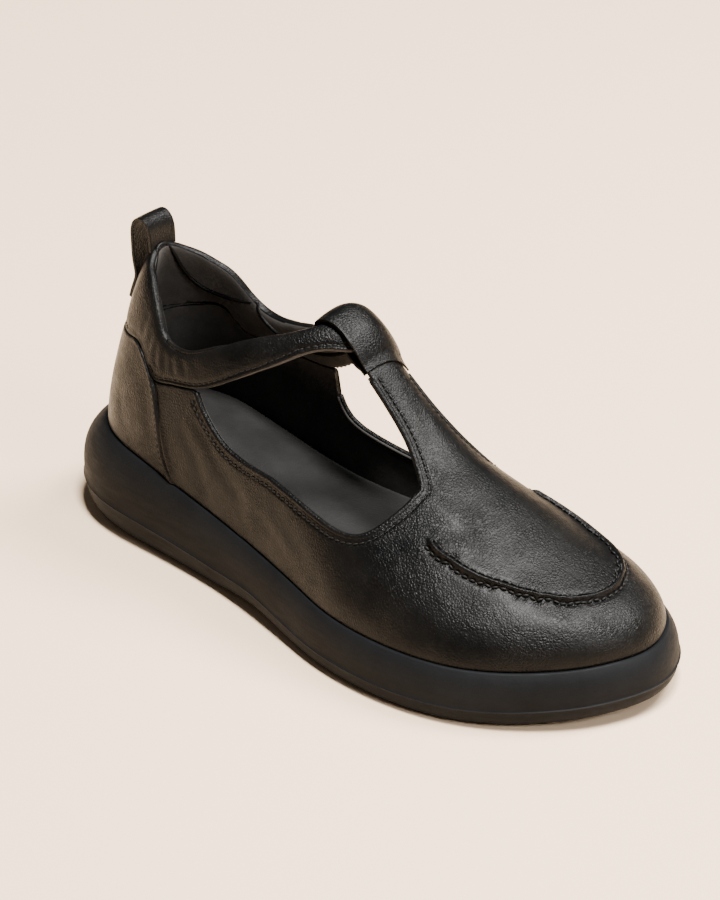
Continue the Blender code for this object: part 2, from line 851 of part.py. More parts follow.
# The free part of the pull loop: forward of the rim and above it, as shares of its rise,
# and how much the strip curves across.
PATH_STEP = 0.2
PULL_COLUMNS = 4
PULL_RISES = (0.45, 0.50, 0.55)
PULL_PATH = [
    (-0.90, -0.90, 0.7),
    (-0.93, 0.00, 0.5),
    (-0.90, 0.55, 0.3),
    (-0.68, 0.93, 0.3),
    (-0.30, 1.00, 0.3),
    (-0.03, 0.72, 0.3),
    (0.04, 0.38, 0.4),
    (0.05, 0.05, 0.5),
]


def make_pull_loop(look):
    """The strip at the back: from low on the band's outside, up, over and onto the rim."""
    rim = on_last(LATERAL, HEEL_END, COLLAR[LATERAL].rows[0][5])
    clear = BAND_PROUD + GAP + PULL_LEATHER / 2
    path = []
    for rise in PULL_RISES:
        x, _, z = off_last(LATERAL, HEEL_END, rise, clear)
        path.append((x, z, 1.0))
    for dx, dz, bend in PULL_PATH:
        path.append((rim[0] + dx * PULL_RISE, rim[2] + dz * PULL_RISE, bend))
    steps = list(range(len(path)))
    near, far = [], []
    for i in between(0, len(path) - 1, 2 * (len(path) - 1)):
        x, z, bend = (smooth(steps, [point[k] for point in path], i) for k in range(3))
        ahead, behind = (
            [smooth(steps, [point[k] for point in path], i + way) for k in range(2)]
            for way in (PATH_STEP, -PATH_STEP)
        )
        way = unit((ahead[0] - behind[0], 0, ahead[1] - behind[1]))
        out = (-way[2], 0, way[0])
        radius = HEEL_CENTRE - x
        near_row, far_row = [], []
        for k in range(PULL_COLUMNS + 1):
            y = (0.5 - k / PULL_COLUMNS) * PULL_WIDTH
            curve = bend * (radius - math.sqrt(radius**2 - y**2))
            middle = (x + curve, rim[1] + y, z)
            near_row.append(moved(middle, out, -PULL_LEATHER / 2))
            far_row.append(moved(middle, out, PULL_LEATHER / 2))
        near.append(near_row)
        far.append(far_row)
    return strap_body("pull_loop", near, far, look)


def main():
    for thing in list(bpy.data.objects):
        bpy.data.objects.remove(thing)
    leather = material("leather", (0.022, 0.021, 0.020), 0.45)
    rubber = material("rubber", (0.030, 0.030, 0.031), 0.62)
    lining = material("insole", (0.018, 0.017, 0.017), 0.90)
    make_sole(rubber)
    make_insole(lining)
    make_upper(leather)
    make_collar_band(leather)
    make_bar_loop(leather)
    make_pull_loop(leather)


main()
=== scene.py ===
import math

import bmesh
import bpy
from bpy.props import FloatProperty, FloatVectorProperty, PointerProperty
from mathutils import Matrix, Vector, bvhtree, kdtree


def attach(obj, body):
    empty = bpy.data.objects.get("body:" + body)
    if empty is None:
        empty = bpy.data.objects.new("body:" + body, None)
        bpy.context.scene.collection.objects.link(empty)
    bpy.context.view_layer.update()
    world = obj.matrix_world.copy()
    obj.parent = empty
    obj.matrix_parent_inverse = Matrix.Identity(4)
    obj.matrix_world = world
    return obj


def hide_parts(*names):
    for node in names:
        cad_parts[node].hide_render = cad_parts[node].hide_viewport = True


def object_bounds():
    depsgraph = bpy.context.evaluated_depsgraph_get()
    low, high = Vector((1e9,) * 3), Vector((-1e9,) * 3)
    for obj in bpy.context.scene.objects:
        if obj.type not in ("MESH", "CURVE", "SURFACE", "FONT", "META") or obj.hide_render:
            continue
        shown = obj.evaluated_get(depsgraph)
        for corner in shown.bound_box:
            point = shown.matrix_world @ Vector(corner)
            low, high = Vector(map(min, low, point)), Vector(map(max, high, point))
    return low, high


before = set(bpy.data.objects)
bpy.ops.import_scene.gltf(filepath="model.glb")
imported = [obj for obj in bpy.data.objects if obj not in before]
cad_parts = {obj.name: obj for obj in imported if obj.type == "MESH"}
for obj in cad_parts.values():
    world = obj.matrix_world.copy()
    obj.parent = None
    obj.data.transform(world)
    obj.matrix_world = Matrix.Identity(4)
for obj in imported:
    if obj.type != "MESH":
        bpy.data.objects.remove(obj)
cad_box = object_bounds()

bl_info = {
    "name": "T-bar Mary Jane Shoe",
    "version": (1, 0, 0),
    "blender": (4, 5, 0),
    "location": "View3D > Sidebar > Shoe",
    "description": "Dresses the solids of a right T-bar shoe in leather, rubber, lining and thread",
    "category": "Object",
}

MM = 0.001

# The photograph's frame in pixels, and its camera round the shoe.
PHOTO_WIDE, PHOTO_HIGH = 720, 900
FOCAL_PIXELS = 3396
SENSOR = 36.0
AZIMUTH = math.radians(40.26)
ELEVATION = math.radians(28.68)
CAMERA_AT = Vector((0.8997, -1.0048, 0.8283))
RIGHT = Vector((math.cos(AZIMUTH), math.sin(AZIMUTH), 0.0))
BACK = Vector((
    math.sin(AZIMUTH) * math.cos(ELEVATION),
    -math.cos(AZIMUTH) * math.cos(ELEVATION),
    math.sin(ELEVATION),
))
ALOFT = BACK.cross(RIGHT)

# The hollow's middle line, which tells a wall's outside from its inside.
HOLLOW_BACK, HOLLOW_FRONT = -0.085, 0.090
HOLLOW_Y = 0.003
HOLLOW_HIGH, HOLLOW_LOW = 0.046, 0.029

# How inward a face of the upper and of the band looks before it is lining.
UPPER_INSIDE, BAND_INSIDE = -0.35, 0.0

# Edges sharper than these count as edges of a wall and of the band.
WALL_EDGE = math.radians(60)
BAND_EDGE = math.radians(40)
# Shading is smooth up to this angle, and two triangles within the next two make a quad.
SMOOTH_ANGLE = math.radians(55)
QUAD_FACES, QUAD_SHAPE = math.radians(60), math.radians(100)

# Points nearer than this are one, and these are the spacings along pressed lines and cords.
MERGE = 0.01 * MM
FINE_STEP = 0.4 * MM
TUBE_STEP = 1.5 * MM

# The steps up the band's face to its rim: how long, how many at most and at least, and the
# cosine of how far the face has turned there. Then the rounds that even the rim's line out,
# and every how many of them it is laid on the band again.
RIM_STEP = 0.7 * MM
RIM_STEPS_MOST, RIM_STEPS_LEAST = 400, 8
RIM_TURNED = 0.15
RIM_ROUNDS, RIM_LAID = 24, 8

# A line of sharp edges has more edges than the first, an open stretch of it more places
# than the second.
RUN_LEAST, STRETCH_LEAST = 3, 12
# An edge nearer than this to a piece over it is covered.
COVERED = 1.6 * MM
# The toe's raised seam lies in front of this place.
SEAM_BEGINS = 0.03
# How often a place beside the outline is looked for again from its own depth.
OUTLINE_TRIES = 4

# Where the T-bar's loop comes down onto the bar, and the share of its thickness left there.
LOOP_DOWN, LOOP_END = -0.006, 0.0045
LOOP_THINNED = 0.42
# The pull loop's front leg, which comes down to the rim.
LEG_BACK, LEG_TOP, LEG_DROP = -0.1045, 0.110, 0.0030

# A pressed line reaches the first of these in widths to its sides. At an end it begins with
# the last as a share of its depth, which grows by one over the second in widths.
PRESS_REACH, PRESS_FADE, PRESS_END = 3, 2, 0.15
# Grooves and rolls pressed along the seams, each with its width and depth.
EDGE_GROOVE = (0.7 * MM, 0.32 * MM)
MOC_GROOVE = (1.0 * MM, 0.55 * MM)
MOC_CREST = (1.3 * MM, -0.50 * MM)
COUNTER_GROOVE = (0.6 * MM, 0.70 * MM)
COUNTER_ROLL = (0.9 * MM, -0.30 * MM)
COUNTER_ROLL_AWAY = 1.1 * MM
LINING_GROOVE = (0.6 * MM, 0.5 * MM)
BAND_GROOVE = (0.9 * MM, 0.45 * MM)
# How far from a seam the upper's and the band's faces are divided once more.
UPPER_REACH, BAND_REACH = 1.6 * MM, 2.4 * MM
# The depth of the inner side's creases, as a share of the outer side's.
INNER_SIDE_SHARE = 0.8

# The lining's cord at a cut-out, its row's distance, and how far in the wall the folded
# edge lies, as a share of the wall.
LINING_CORD = 1.0 * MM
LINING_ROW = 1.4 * MM
FOLD_IN = 0.4

# A stitch: its length as a share of the pitch, how deep and how slanted it lies, how blunt
# its ends are and how far they turn down, and the segments and rings of its mesh.
STITCH_LENGTH = 0.80
STITCH_SUNK = 0.42
STITCH_SLANT = 0.10
STITCH_BLUNT, STITCH_BOW = 0.8, 1.6
STITCH_SEGMENTS, STITCH_RINGS = 8, 6
# How finely a cord's round is divided.
CORD_ROUNDNESS = 2

# The tread's ribs under the sole, as the wave texture's scale.
TREAD_SCALE = 62

# The stage: the place that the lights shine on, the floor and the room's colour.
LIT_PLACE = Vector((0, 0, 0.04))
FLOOR_SIZE, FLOOR_DROP = 8, 0.05 * MM
ROOM_COLOUR = (1.0, 0.955, 0.90, 1)
CLIP_START = 0.05

# Seams that are placed on the photograph, in its pixels.
COUNTER_SEAM = [(99, 417), (105, 432), (115.6, 461), (119.4, 482), (124, 520), (131.8, 548)]
LOOP_SEAM = [(284, 449), (299, 442.5), (315, 436)]
LINING_SEAM = [(201, 462), (200.5, 475), (198.5, 488), (196.5, 499)]

# Creases in the leather of the outer side: pixels along each, with width and depth in mm.
SIDE_CREASES = [
    ([(143, 486), (158, 508), (168, 532)], 2.4, 0.30),
    ([(134, 492), (150, 523), (160, 556)], 3.2, 0.35),
    ([(163, 520), (181, 549), (196, 590)], 3.6, 0.38),
    ([(176, 540), (199, 566), (221, 596)], 3.0, 0.28),
    ([(205, 553), (228, 585), (246, 622)], 4.2, 0.35),
    ([(266, 592), (283, 612), (300, 640)], 3.6, 0.25),
    ([(108, 455), (112, 492), (118, 520)], 3.0, 0.28),
    ([(90, 462), (93, 495), (98, 518)], 3.4, 0.25),
]
# Creases over the vamp and its root, ridges where the depth is below zero.
VAMP_CREASES = [
    ([(318, 470), (330, 492), (334, 520)], 2.2, 0.16),
    ([(334, 556), (349, 573), (368, 582)], 3.4, 0.22),
    ([(322, 563), (336, 578), (350, 603)], 3.0, 0.22),
    ([(330, 548), (344, 560), (362, 566)], 3.4, -0.22),
    ([(300, 574), (312, 590), (318, 612)], 2.8, 0.20),
    ([(345, 618), (376, 640), (405, 652)], 4.0, 0.18),
    ([(392, 545), (400, 560), (402, 580)], 4.0, 0.14),
]
# Puckers of the padded band where it turns at the heel, and along its lower seam.
BAND_PUCKERS = [
    ([(113.4, 406), (109, 416), (107.4, 427)], 1.6, 0.26),
    ([(116, 421.6), (112.5, 430), (111.7, 440.5)], 1.6, 0.30),
    ([(119.4, 430), (116.8, 440.5), (117.7, 451)], 1.5, 0.36),
    ([(124.6, 437), (124.1, 445.7), (125.1, 456)], 1.5, 0.36),
    ([(129.7, 440.5), (130.3, 449), (132, 458)], 1.4, 0.34),
    ([(137.5, 442.3), (139, 450), (141, 458)], 1.4, 0.30),
    ([(146, 443), (148.2, 449), (151, 456)], 1.4, 0.24),
    ([(163, 441), (166, 447), (170, 455)], 1.5, 0.20),
    ([(183, 437), (187, 443), (191, 452)], 1.5, 0.18),
    ([(205, 432), (210, 438), (213, 448)], 1.5, 0.16),
    ([(228, 427), (232, 433), (235, 443)], 1.5, 0.15),
    ([(248, 422), (251, 428), (254, 438)], 1.5, 0.14),
]


# Sizes and colours that a user would change


class ShoeLeather(bpy.types.PropertyGroup):
    """The black leather of the upper, band and loops."""

    colour: FloatVectorProperty(
        name="Colour", description="Base colour of the leather", subtype="COLOR",
        size=3, min=0, max=1, default=(0.0020, 0.0021, 0.0022),
    )
    warm: FloatVectorProperty(
        name="Warm Tone", description="Browner tone where the finish thins out", subtype="COLOR",
        size=3, min=0, max=1, default=(0.0055, 0.0051, 0.0047),
    )
    roughness: FloatProperty(
        name="Roughness", description="Mean roughness of the finish", subtype="FACTOR",
        min=0, max=1, default=0.37,
    )
    grain: FloatProperty(
        name="Grain", description="Size of one pebble of the grain", unit="LENGTH",
        min=0.0001, max=0.01, default=0.0011,
    )
    grain_depth: FloatProperty(
        name="Grain Depth", description="Depth of the furrows between pebbles", unit="LENGTH",
        min=0, max=0.002, default=0.00030,
    )


class ShoeRubber(bpy.types.PropertyGroup):
    """The moulded sole."""

    colour: FloatVectorProperty(
        name="Colour", description="Base colour of the rubber", subtype="COLOR",
        size=3, min=0, max=1, default=(0.0058, 0.0064, 0.0073),
    )
    roughness: FloatProperty(
        name="Roughness", description="Mean roughness of the rubber", subtype="FACTOR",
        min=0, max=1, default=0.56,
    )


class ShoeLining(bpy.types.PropertyGroup):
    """The napped lining and the insole's cover."""

    colour: FloatVectorProperty(
        name="Colour", description="Base colour of the nap", subtype="COLOR",
        size=3, min=0, max=1, default=(0.0280, 0.0260, 0.0245),
    )
    insole_colour: FloatVectorProperty(
        name="Insole Colour", description="Base colour of the insole's cover", subtype="COLOR",
        size=3, min=0, max=1, default=(0.0085, 0.0082, 0.0079),
    )


class ShoeSewing(bpy.types.PropertyGroup):
    """Thread, stitches, piping and the places of the rows."""

    thread: FloatProperty(
        name="Thread", description="Thickness of the thread", unit="LENGTH",
        min=0.0001, max=0.002, default=0.00062,
    )
    fine_pitch: FloatProperty(
        name="Fine Pitch", description="Distance between stitches of an edge row", unit="LENGTH",
        min=0.001, max=0.01, default=0.0025,
    )
    bold_pitch: FloatProperty(
        name="Bold Pitch", description="Distance between stitches of the raised seam", unit="LENGTH",
        min=0.001, max=0.01, default=0.0031,
    )
    edge: FloatProperty(
        name="Edge Distance", description="From a cut edge to its row of stitches", unit="LENGTH",
        min=0.0005, max=0.01, default=0.0025,
    )
    counter: FloatProperty(
        name="Counter Distance", description="From the counter's seam to its row", unit="LENGTH",
        min=0.0005, max=0.01, default=0.0021,
    )
    flange: FloatProperty(
        name="Flange", description="From the band's lower edge to its row", unit="LENGTH",
        min=0.0005, max=0.01, default=0.0019,
    )
    seam: FloatProperty(
        name="Seam Distance", description="From the raised seam's crest to each row", unit="LENGTH",
        min=0.0005, max=0.01, default=0.0025,
    )
    fold: FloatProperty(
        name="Folded Edge", description="Thickness of the folded edge round the cut-outs", unit="LENGTH",
        min=0.0005, max=0.004, default=0.0024,
    )
    piping: FloatProperty(
        name="Piping", description="Thickness of the piping round the rim", unit="LENGTH",
        min=0.0005, max=0.004, default=0.0017,
    )
    colour: FloatVectorProperty(
        name="Thread Colour", description="Colour of the black thread", subtype="COLOR",
        size=3, min=0, max=1, default=(0.0050, 0.0050, 0.0050),
    )
    brown: FloatVectorProperty(
        name="Lining Thread", description="Colour of the brown thread along the lining", subtype="COLOR",
        size=3, min=0, max=1, default=(0.060, 0.042, 0.024),
    )


class ShoeStage(bpy.types.PropertyGroup):
    """Floor, lights and camera."""

    floor: FloatVectorProperty(
        name="Floor", description="Colour of the floor", subtype="COLOR",
        size=3, min=0, max=1, default=(0.900, 0.670, 0.460),
    )
    power: FloatProperty(
        name="Lights", description="Power that the soft lights share", unit="POWER",
        min=0, max=1000, default=185.0,
    )
    world: FloatProperty(
        name="Room Light", description="Strength of the light from all round",
        min=0, max=10, default=0.09,
    )
    zoom: FloatProperty(
        name="Zoom", description="How much closer than the photograph the shoe is framed",
        min=0.5, max=3, default=1.28,
    )


# Modelling helpers


def take_up(thing):
    """Deselects all, then selects one piece and makes it active."""
    bpy.ops.object.select_all(action="DESELECT")
    thing.select_set(True)
    bpy.context.view_layer.objects.active = thing


def add_modifier(thing, kind, **settings):
    """Adds one modifier to a piece with its settings, and applies it."""
    take_up(thing)
    bpy.ops.object.modifier_add(type=kind)
    modifier = thing.modifiers[-1]
    for name, value in settings.items():
        setattr(modifier, name, value)
    bpy.ops.object.modifier_apply(modifier=modifier.name)


def refined(node, name, levels, crease, edge=WALL_EDGE):
    """A fine copy of a solid: merged, in quads again, its edges held, and subdivided."""
    piece = bpy.data.objects.new(name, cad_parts[node].data.copy())
    piece.data.materials.clear()
    bpy.context.scene.collection.objects.link(piece)
    take_up(piece)
    if piece.data.has_custom_normals:
        bpy.ops.mesh.customdata_custom_splitnormals_clear()
    bpy.ops.object.mode_set(mode="EDIT")
    bpy.ops.mesh.select_mode(type="EDGE")
    bpy.ops.mesh.select_all(action="SELECT")
    bpy.ops.mesh.remove_doubles(threshold=MERGE)
    bpy.ops.mesh.tris_convert_to_quads(
        face_threshold=QUAD_FACES, shape_threshold=QUAD_SHAPE, topology_influence=1.0,
    )
    bpy.ops.mesh.select_all(action="DESELECT")
    bpy.ops.mesh.edges_select_sharp(sharpness=edge)
    bpy.ops.transform.edge_crease(value=crease)
    bpy.ops.object.mode_set(mode="OBJECT")
    runs = sharp_runs(piece.data, edge)
    add_modifier(piece, "SUBSURF", levels=levels, render_levels=levels)
    take_up(piece)
    bpy.ops.object.shade_smooth_by_angle(angle=SMOOTH_ANGLE)
    return piece, runs


def tree_of_points(points):
    """A search tree over points, which finds the nearest one and its number."""
    tree = kdtree.KDTree(len(points))
    for i, point in enumerate(points):
        tree.insert(point, i)
    tree.balance()
    return tree


def finer_along(thing, lines, reach, cuts):
    """Divides a piece's faces by cuts more edges where they lie within reach of lines."""
    near = tree_of_points([point for line in lines for point in evenly(line, reach / 2)])
    take_up(thing)
    bpy.ops.object.mode_set(mode="EDIT")
    bpy.ops.mesh.select_mode(type="FACE")
    bpy.ops.mesh.select_all(action="DESELECT")
    bpy.ops.object.mode_set(mode="OBJECT")
    for face in thing.data.polygons:
        face.select = near.find(face.center)[2] < reach
    bpy.ops.object.mode_set(mode="EDIT")
    bpy.ops.mesh.subdivide(number_cuts=cuts, smoothness=0, ngon=False)
    bpy.ops.object.mode_set(mode="OBJECT")


class Run:
    """A line of edges on a piece, with the ways into the face that looks most out or in."""

    def __init__(self, points, inwards, outside):
        self.points = points
        self.inwards = inwards
        self.outside = outside
        self.closed = (points[0] - points[-1]).length < MERGE

    def length(self):
        """How long the line is."""
        return sum((b - a).length for a, b in zip(self.points, self.points[1:]))

    def height(self):
        """How high the line lies on average."""
        return sum(point.z for point in self.points) / len(self.points)


def outwardness(point, normal):
    """How far a face looks away from the hollow's middle line, from -1 to 1."""
    share = min(max(point.x / HOLLOW_FRONT, 0.0), 1.0)
    height = HOLLOW_HIGH + (HOLLOW_LOW - HOLLOW_HIGH) * share
    middle = Vector((min(max(point.x, HOLLOW_BACK), HOLLOW_FRONT), HOLLOW_Y, height))
    return normal.dot((point - middle).normalized())


def sharp_runs(mesh, angle):
    """The lines of edges sharper than an angle, each walked from end to end."""
    shape = bmesh.new()
    shape.from_mesh(mesh)
    shape.normal_update()
    sharp = [e for e in shape.edges if len(e.link_faces) == 2 and e.calc_face_angle() > angle]
    meets = {}
    for edge in sharp:
        for vert in edge.verts:
            meets[vert] = meets.get(vert, 0) + 1
    # An edge between two corners where three or more meet belongs to no line.
    next_to = {}
    for edge in sharp:
        if min(meets[vert] for vert in edge.verts) < 3:
            for vert in edge.verts:
                next_to.setdefault(vert, []).append(edge)
    used = set()
    runs = []
    for start in sorted(next_to, key=lambda vert: (len(next_to[vert]) != 1, vert.index)):
        vert, line, ways, outside = start, [start.co.copy()], [], 0.0
        while True:
            edge = next((e for e in next_to[vert] if e not in used), None)
            if edge is None:
                break
            used.add(edge)
            face = max(edge.link_faces, key=lambda f: abs(outwardness(vert.co, f.normal)))
            ahead = edge.other_vert(vert)
            along = (ahead.co - vert.co).normalized()
            into = face.calc_center_median() - (vert.co + ahead.co) / 2
            ways.append((into - along * into.dot(along)).normalized())
            outside += outwardness(vert.co, face.normal)
            line.append(ahead.co.copy())
            vert = ahead
        if len(ways) > RUN_LEAST:
            at_points = [(a + b).normalized() for a, b in zip([ways[0]] + ways, ways + [ways[-1]])]
            runs.append(Run(line, at_points, outside > 0))
    shape.free()
    return runs


def tree_of(thing):
    """A search tree over a piece's faces."""
    mesh = thing.data
    return bvhtree.BVHTree.FromPolygons(
        [vert.co for vert in mesh.vertices],
        [tuple(face.vertices) for face in mesh.polygons],
    )


def from_photo(tree, pixel):
    """The place on a piece that shows at a pixel of the photograph, or else nearest to it."""
    across = (pixel[0] - PHOTO_WIDE / 2) / FOCAL_PIXELS
    up = (PHOTO_HIGH / 2 - pixel[1]) / FOCAL_PIXELS
    ray = (RIGHT * across + ALOFT * up - BACK).normalized()
    found = tree.ray_cast(CAMERA_AT, ray)[0]
    if found:
        return found
    near = CAMERA_AT + ray * CAMERA_AT.length
    for _ in range(OUTLINE_TRIES):
        found = tree.find_nearest(near)[0]
        near = CAMERA_AT + ray * (found - CAMERA_AT).dot(ray)
    return found


def curve_through(points, steps=8):
    """A smooth line through points."""
    line = []
    for i in range(len(points) - 1):
        a, b = points[max(i - 1, 0)], points[i]
        c, d = points[i + 1], points[min(i + 2, len(points) - 1)]
        for s in range(steps):
            t = s / steps
            square, cube = a * 2 - b * 5 + c * 4 - d, b * 3 - a - c * 3 + d
            line.append((b * 2 + (c - a) * t + square * t**2 + cube * t**3) / 2)
    return line + [points[-1].copy()]


def evenly(points, pitch):
    """Points about a pitch apart along a line, from its one end to the other."""
    total = sum((b - a).length for a, b in zip(points, points[1:]))
    count = max(round(total / pitch), 1)
    step, done, spots = total / count, 0.0, [points[0].copy()]
    for a, b in zip(points, points[1:]):
        size = (b - a).length
        while size > 0 and done + size >= step * len(spots) - MERGE and len(spots) <= count:
            spots.append(a.lerp(b, (step * len(spots) - done) / size))
        done += size
    return spots


def laid_on(tree, points):
    """Points moved onto the nearest place of a piece."""
    return [tree.find_nearest(point)[0] for point in points]


def open_edges(run, covers, distance):
    """The stretches of a run that no other piece covers, as places with their ways in."""
    places = list(zip(curve_through(run.points, 4), curve_through(run.inwards, 4)))
    stretches = [[]]
    for point, way in places:
        if any(tree.find_nearest(point)[3] < distance for tree in covers):
            stretches.append([])
        else:
            stretches[-1].append((point, way.normalized()))
    if run.closed and len(stretches) > 1:
        stretches[0] = stretches.pop() + stretches[0]
    return [stretch for stretch in stretches if len(stretch) > STRETCH_LEAST]


def beside(places, tree, distance):
    """A line on a piece at a distance into the face beside an edge."""
    return laid_on(tree, [point + way * distance for point, way in places])


def over_the_top(run, tree):
    """From each place of a lower edge up the face and on to where it turns over."""
    line = []
    for point, way in zip(curve_through(run.points, 2), curve_through(run.inwards, 2)):
        way = way.normalized()
        here, start, _, _ = tree.find_nearest(point + way * RIM_STEP)
        for _ in range(RIM_STEPS_MOST):
            ahead, normal, _, _ = tree.find_nearest(here + way * RIM_STEP)
            risen = (ahead - point).length > RIM_STEPS_LEAST * RIM_STEP
            if risen and normal.dot(start) < RIM_TURNED:
                break
            way = (way + (ahead - here).normalized()).normalized()
            way = (way - normal * way.dot(normal)).normalized()
            here = ahead
        line.append(ahead)
    return line


def evened_out(points, tree):
    """A closed line with its small steps smoothed away, kept on a piece."""
    line = points[:-1]
    for i in range(RIM_ROUNDS):
        before, after = line[-1:] + line[:-1], line[1:] + line[:1]
        line = [(a + b * 2 + c) / 4 for a, b, c in zip(before, line, after)]
        if i % RIM_LAID == 0:
            line = laid_on(tree, line)
    return line


def both_sides(points, tree, distance):
    """Two lines on a piece, at a distance to each side of a line that lies on it."""
    fine = curve_through(points, 4)
    sides = []
    for way in (1, -1):
        line = []
        for i, point in enumerate(fine):
            along = fine[min(i + 1, len(fine) - 1)] - fine[max(i - 1, 0)]
            normal = tree.find_nearest(point)[1]
            line.append(point + normal.cross(along).normalized() * distance * way)
        sides.append(laid_on(tree, line))
    return sides


def rearmost(lines):
    """Of several lines, the one that lies nearest the heel."""
    return min(lines, key=lambda line: sum(point.x for point in line) / len(line))


def press(thing, lines):
    """Presses soft troughs into a piece along lines, or ridges where a depth is below zero."""
    mesh = thing.data
    shifts = {}
    for points, width, depth in lines:
        fine = evenly(points, FINE_STEP)
        tree = tree_of_points(fine)
        reach = PRESS_REACH * width
        low = [min(point[k] for point in fine) - reach for k in range(3)]
        high = [max(point[k] for point in fine) + reach for k in range(3)]
        for vert in mesh.vertices:
            co = vert.co
            if not all(low[k] < co[k] < high[k] for k in range(3)):
                continue
            _, i, far = tree.find(co)
            if far < reach:
                end = min(i, len(fine) - 1 - i) * FINE_STEP / (PRESS_FADE * width)
                fade = min(1.0, PRESS_END + end)
                shift = depth * fade * math.exp(-((far / width) ** 2))
                shifts[vert.index] = shifts.get(vert.index, 0.0) + shift
    normals = {i: mesh.vertices[i].normal.copy() for i in shifts}
    for i, shift in shifts.items():
        mesh.vertices[i].co -= normals[i] * shift
    mesh.update()


def photo_lines(tree, table):
    """Creases from a table of pixels, with width and depth in millimetres."""
    lines = []
    for pixels, width, depth in table:
        points = curve_through([from_photo(tree, pixel) for pixel in pixels])
        lines.append((points, width * MM, depth * MM))
    return lines


def mirrored(points, tree):
    """The same line on the other side of the shoe."""
    return laid_on(tree, [Vector((p.x, 2 * HOLLOW_Y - p.y, p.z)) for p in points])


def dressed(thing, looks, replaces=()):
    """Gives a finished piece its materials, slot, body and the solids that it replaces."""
    for look in looks:
        thing.data.materials.append(look)
    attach(thing, "root")
    if replaces:
        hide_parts(*replaces)


def line_inside(thing, limit):
    """Gives the faces that look into the hollow the second material."""
    for face in thing.data.polygons:
        face.material_index = 1 if outwardness(face.center, face.normal) < limit else 0


def laid_down(loop, tree):
    """Lays the front end of the T-bar's loop closer to the bar that it is sewn to."""
    for vert in loop.data.vertices:
        share = min(max((vert.co.x - LOOP_DOWN) / (LOOP_END - LOOP_DOWN), 0.0), 1.0)
        if share > 0:
            place = tree.find_nearest(vert.co)[0]
            vert.co = vert.co.lerp(place, (1 - LOOP_THINNED) * share * share * (3 - 2 * share))
    loop.data.update()


def let_down(pull):
    """Lengthens the front leg of the heel's pull loop down to the rim."""
    low = min(vert.co.z for vert in pull.data.vertices if vert.co.x > LEG_BACK)
    for vert in pull.data.vertices:
        if vert.co.x > LEG_BACK and vert.co.z < LEG_TOP:
            vert.co.z -= LEG_DROP * (LEG_TOP - vert.co.z) / (LEG_TOP - low)


def tube(name, points, thickness, closed=False):
    """A round cord along points, as a mesh with closed ends."""
    bpy.ops.object.select_all(action="DESELECT")
    bpy.ops.curve.primitive_nurbs_path_add()
    cord = bpy.context.object
    cord.name = name
    curve = cord.data
    curve.splines.clear()
    spline = curve.splines.new("POLY")
    spline.points.add(len(points) - 1)
    for place, point in zip(spline.points, points):
        place.co = (*point, 1)
    spline.use_cyclic_u = closed
    curve.dimensions = "3D"
    curve.bevel_depth = thickness / 2
    curve.bevel_resolution = CORD_ROUNDNESS
    curve.use_fill_caps = not closed
    take_up(cord)
    bpy.ops.object.convert(target="MESH")
    cord = bpy.context.object
    take_up(cord)
    bpy.ops.object.mode_set(mode="EDIT")
    bpy.ops.mesh.select_all(action="SELECT")
    bpy.ops.mesh.remove_doubles(threshold=MERGE)
    bpy.ops.mesh.normals_make_consistent(inside=False)
    bpy.ops.object.mode_set(mode="OBJECT")
    bpy.ops.object.shade_smooth()
    return cord


def one_stitch(length, thickness):
    """The points and faces of one stitch along X, its ends turned down into the leather."""
    bpy.ops.object.select_all(action="DESELECT")
    bpy.ops.mesh.primitive_uv_sphere_add(
        segments=STITCH_SEGMENTS, ring_count=STITCH_RINGS, radius=0.5,
    )
    ball = bpy.context.object
    points = []
    for vert in ball.data.vertices:
        x, y, z = vert.co.z, vert.co.x, vert.co.y
        bulk = math.copysign(abs(2 * x) ** STITCH_BLUNT, x) / 2
        rise = z - STITCH_BOW * x * x
        points.append(Vector((bulk * length, y * thickness, rise * thickness)))
    faces = [tuple(face.vertices) for face in ball.data.polygons]
    bpy.data.objects.remove(ball)
    return points, faces


def sewn(name, rows, tree, pitch, thickness):
    """Rows of stitches in one mesh, each stitch lying on the piece under it."""
    shape, shape_faces = one_stitch(pitch * STITCH_LENGTH, thickness)
    points, faces = [], []
    for row in rows:
        spots = evenly(row, pitch)
        for here, there in zip(spots, spots[1:]):
            place, normal, _, _ = tree.find_nearest((here + there) / 2)
            along = (there - here).normalized()
            along = (along - normal * along.dot(normal)).normalized()
            across = normal.cross(along)
            along = (along + across * STITCH_SLANT).normalized()
            across = normal.cross(along)
            base = len(points)
            origin = place + normal * thickness * (0.5 - STITCH_SUNK)
            points += [origin + along * p.x + across * p.y + normal * p.z for p in shape]
            faces += [tuple(base + i for i in face) for face in shape_faces]
    mesh = bpy.data.meshes.new(name)
    mesh.from_pydata(points, [], faces)
    stitches = bpy.data.objects.new(name, mesh)
    bpy.context.scene.collection.objects.link(stitches)
    take_up(stitches)
    bpy.ops.object.mode_set(mode="EDIT")
    bpy.ops.mesh.select_all(action="SELECT")
    bpy.ops.mesh.normals_make_consistent(inside=False)
    bpy.ops.object.mode_set(mode="OBJECT")
    bpy.ops.object.shade_smooth()
    return stitches


# Materials


